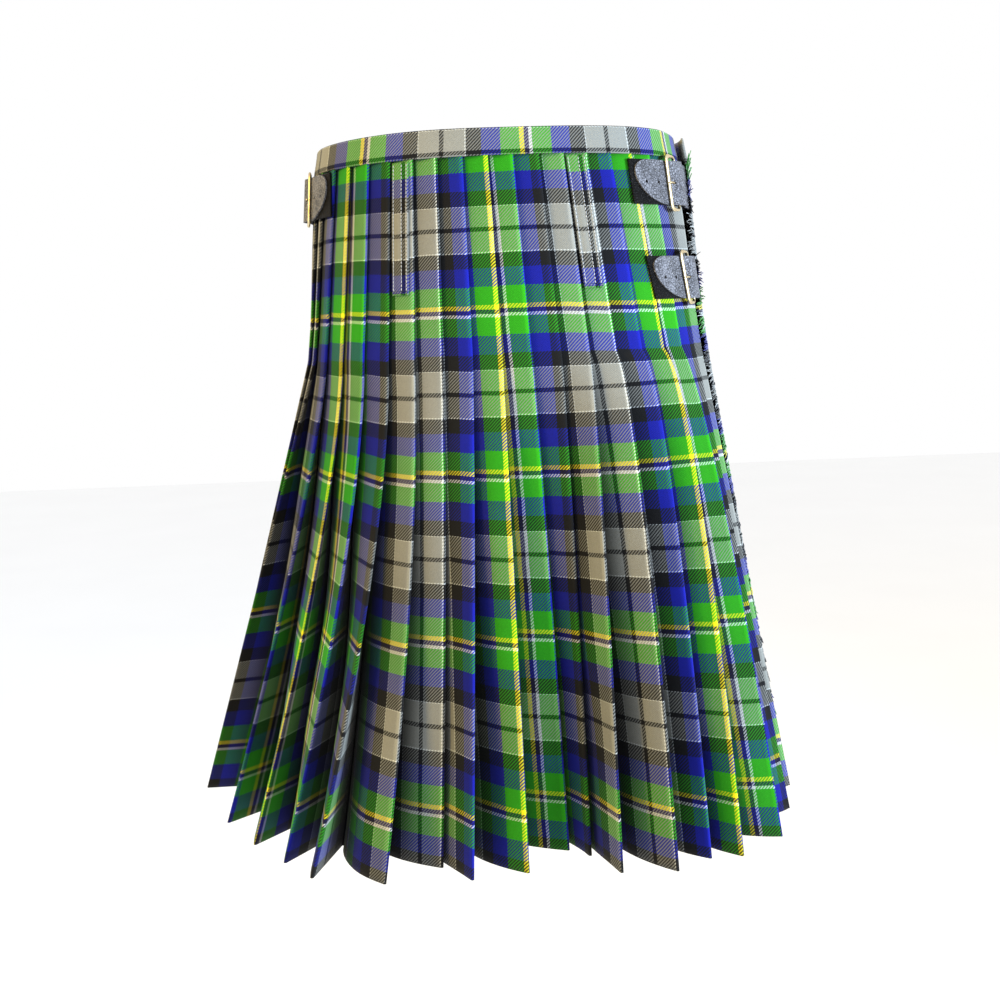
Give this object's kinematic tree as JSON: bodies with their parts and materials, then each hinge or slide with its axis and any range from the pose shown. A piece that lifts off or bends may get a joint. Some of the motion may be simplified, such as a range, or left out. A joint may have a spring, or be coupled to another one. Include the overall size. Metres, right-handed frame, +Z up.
{
  "type": "kilt",
  "caption": "Worn Scottish kilt in green, blue and grey tartan wool, knife-pleated at the back, with belt loops and leather buckle straps.",
  "frame": {"origin": "centre of the waist, at the waistband's top edge", "axes": "+Z up along the wearer's back; the pleated back faces -Y and the plain front +Y; +X is the wearer's right"},
  "size_m": [0.5699, 0.4288, 0.6004],
  "materials": {
    "tartan_pleats": "matte",
    "tartan_apron": "matte",
    "tartan_band": "matte",
    "tartan_loop": "matte",
    "fringe": "matte",
    "leather": "satin",
    "brass": "worn satin"
  },
  "bodies": {
    "root": {"pleats_left": "tartan_pleats", "pleats_right": "tartan_pleats", "over_apron": "tartan_apron", "under_apron": "tartan_apron", "waistband": "tartan_band", "belt_loop_left": "tartan_loop", "belt_loop_right": "tartan_loop", "fringe": "fringe", "strap_upper_right": "leather", "chape_upper_right": "leather", "buckle_upper_right": "brass", "prong_upper_right": "brass", "strap_lower_right": "leather", "chape_lower_right": "leather", "buckle_lower_right": "brass", "prong_lower_right": "brass", "strap_left": "leather", "chape_left": "leather", "buckle_left": "brass", "prong_left": "brass"}
  },
  "joints": []
}
